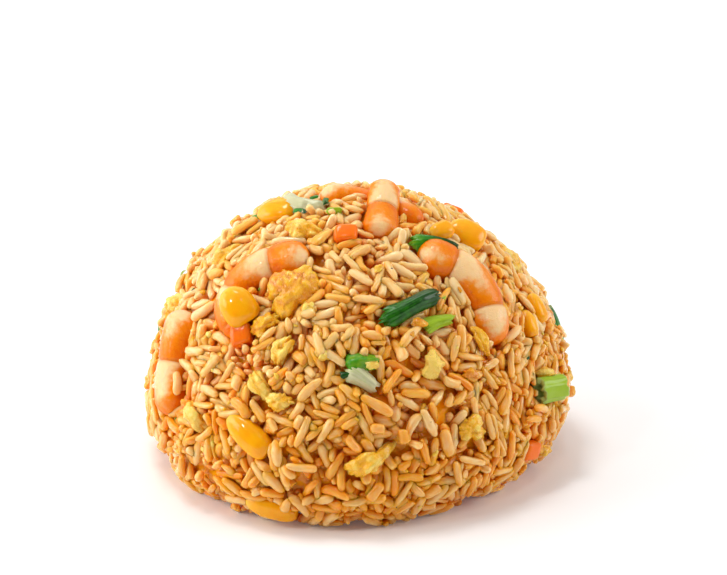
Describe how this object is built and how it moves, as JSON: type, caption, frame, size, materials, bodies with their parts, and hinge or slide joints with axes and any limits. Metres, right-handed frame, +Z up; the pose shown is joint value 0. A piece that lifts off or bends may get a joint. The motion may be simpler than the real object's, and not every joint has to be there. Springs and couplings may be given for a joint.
{
  "type": "fried rice mound",
  "caption": "Bowl-moulded dome of fried rice with curled shrimps, sweetcorn kernels, carrot dice, spring onion rings and torn egg pressed into its surface.",
  "frame": {"origin": "middle of the flat base that the mound rests on", "axes": "+Z up out of the base, -Y towards the front, +X to the right seen from the front"},
  "size_m": [0.1063, 0.1094, 0.0698],
  "materials": {
    "rice": "moist cooked grains, ivory to light tan with a slight oil sheen",
    "shrimp": "peeled cooked flesh, pale cream bands between orange ones, moist",
    "corn": "smooth glossy skin, deep yellow shading to orange",
    "carrot": "cut faces, wet, saturated orange",
    "spring_onion": "waxy leaf and stem, deep green to yellow-green with a pale inner face",
    "egg": "fried curds, yellow with golden-brown edges"
  },
  "bodies": {
    "root": {"corn_1": "corn", "corn_2": "corn", "corn_3": "corn", "corn_4": "corn", "corn_5": "corn", "corn_6": "corn", "corn_7": "corn", "corn_8": "corn", "corn_9": "corn", "corn_10": "corn", "corn_11": "corn", "corn_12": "corn", "carrot_1": "carrot", "carrot_2": "carrot", "carrot_3": "carrot", "carrot_4": "carrot", "carrot_5": "carrot", "carrot_6": "carrot", "spring_onion_1": "spring_onion", "spring_onion_2": "spring_onion", "spring_onion_3": "spring_onion", "spring_onion_4": "spring_onion", "spring_onion_5": "spring_onion", "spring_onion_6": "spring_onion", "spring_onion_7": "spring_onion", "spring_onion_8": "spring_onion", "spring_onion_9": "spring_onion", "spring_onion_10": "spring_onion", "egg_1": "egg", "egg_2": "egg", "egg_3": "egg", "egg_4": "egg", "egg_5": "egg", "egg_6": "egg", "egg_7": "egg", "egg_8": "egg", "egg_9": "egg", "egg_10": "egg", "egg_11": "egg", "egg_12": "egg", "egg_13": "egg", "egg_14": "egg", "egg_15": "egg", "egg_16": "egg", "egg_17": "egg", "egg_18": "egg", "shrimp_left": "shrimp", "shrimp_left_low": "shrimp", "shrimp_right": "shrimp", "shrimp_top": "shrimp", "shrimp_top_tail": "shrimp", "shrimp_back": "shrimp", "shrimp_back_low": "shrimp", "rice_heap": "rice"}
  },
  "joints": []
}
